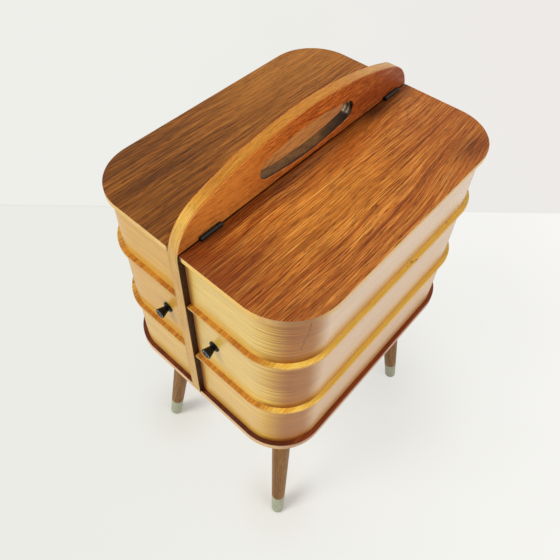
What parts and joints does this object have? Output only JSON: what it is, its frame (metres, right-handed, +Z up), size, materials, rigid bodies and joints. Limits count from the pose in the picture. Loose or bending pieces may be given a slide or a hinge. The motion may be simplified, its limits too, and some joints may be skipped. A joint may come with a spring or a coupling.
{
  "type": "sewing box with drawers",
  "caption": "Floor-standing wooden sewing box: carrying board with hand slot, hinged lids over top trays, sliding middle drawers and fixed bottom trays, on splayed legs.",
  "frame": {"origin": "on the floor, in the middle of the whole outline, knobs included", "axes": "+Z up, -Y the front, where the drawers open, +X to the right of someone facing the front"},
  "size_m": [0.301, 0.3898, 0.6509],
  "materials": {
    "base_core": "pale plywood edge, satin lacquer",
    "base_veneer": "dark teak veneer, satin lacquer",
    "board_core": "pale hardwood edge, satin lacquer",
    "board_veneer": "teak veneer, satin lacquer",
    "bentwood": "bent beech with teak veneer, gloss lacquer",
    "tray_wood": "bare satin wood",
    "tray_floor": "plywood with golden veneer, gloss lacquer",
    "lid_core": "pale plywood edge",
    "lid_veneer": "teak veneer, satin lacquer",
    "runner_wood": "waxed hardwood",
    "leg_wood": "walnut-brown stained, satin lacquer",
    "leg_tip": "grey-green moulded sleeve",
    "knob_black": "black gloss",
    "knob_ring": "polished ring",
    "hinge_black": "black oxide",
    "screw_steel": "zinc-plated",
    "plate_steel": "zinc-plated"
  },
  "bodies": {
    "carcass": {"base_panel": "base_core", "base_veneer": "base_veneer", "centre_board_core": "board_core", "board_screws": "screw_steel", "leg_plates": "plate_steel", "leg_studs": "screw_steel", "leg_plate_screws": "screw_steel", "leg_front_right": "leg_wood", "leg_front_left": "leg_wood", "leg_back_right": "leg_wood", "leg_back_left": "leg_wood", "leg_tip_front_right": "leg_tip", "leg_tip_front_left": "leg_tip", "leg_tip_back_right": "leg_tip", "leg_tip_back_left": "leg_tip", "centre_board_veneer_right": "board_veneer", "top_tray_wall_right": "bentwood", "top_tray_inner_side_right": "tray_wood", "top_tray_floor_right": "tray_floor", "bottom_tray_wall_right": "bentwood", "bottom_tray_inner_side_right": "tray_wood", "tray_screws_right": "screw_steel", "drawer_runner_right": "runner_wood", "runner_screws_right": "screw_steel", "hinge_board_leaves_right": "hinge_black", "hinge_board_screws_right": "hinge_black", "hinge_pins_right": "hinge_black", "centre_board_veneer_left": "board_veneer", "top_tray_wall_left": "bentwood", "top_tray_inner_side_left": "tray_wood", "top_tray_floor_left": "tray_floor", "bottom_tray_wall_left": "bentwood", "bottom_tray_inner_side_left": "tray_wood", "tray_screws_left": "screw_steel", "drawer_runner_left": "runner_wood", "runner_screws_left": "screw_steel", "hinge_board_leaves_left": "hinge_black", "hinge_board_screws_left": "hinge_black", "hinge_pins_left": "hinge_black"},
    "lid_right": {"lid_panel_right": "lid_core", "lid_veneer_right": "lid_veneer", "hinge_lid_leaves_right": "hinge_black", "hinge_lid_screws_right": "hinge_black"},
    "drawer_right": {"drawer_wall_right": "bentwood", "drawer_inner_side_right": "tray_wood", "drawer_floor_right": "tray_floor", "drawer_knob_right": "knob_black", "drawer_knob_ring_right": "knob_ring", "drawer_knob_screw_right": "screw_steel"},
    "lid_left": {"lid_panel_left": "lid_core", "lid_veneer_left": "lid_veneer", "hinge_lid_leaves_left": "hinge_black", "hinge_lid_screws_left": "hinge_black"},
    "drawer_left": {"drawer_wall_left": "bentwood", "drawer_inner_side_left": "tray_wood", "drawer_floor_left": "tray_floor", "drawer_knob_left": "knob_black", "drawer_knob_ring_left": "knob_ring", "drawer_knob_screw_left": "screw_steel"}
  },
  "joints": [
    {"name": "lid_right_hinge", "type": "hinge", "parent": "carcass", "child": "lid_right", "pos_m": [0.00985, 0.0029, 0.58735], "axis": [0, -1, 0], "range_deg": [0, 94.4]},
    {"name": "drawer_right_slide", "type": "slide", "parent": "carcass", "child": "drawer_right", "axis": [0, -1, 0], "range_m": [0, 0.25]},
    {"name": "lid_left_hinge", "type": "hinge", "parent": "carcass", "child": "lid_left", "pos_m": [-0.00985, 0.0029, 0.58735], "axis": [0, 1, 0], "range_deg": [0, 94.4]},
    {"name": "drawer_left_slide", "type": "slide", "parent": "carcass", "child": "drawer_left", "axis": [0, -1, 0], "range_m": [0, 0.25]}
  ]
}
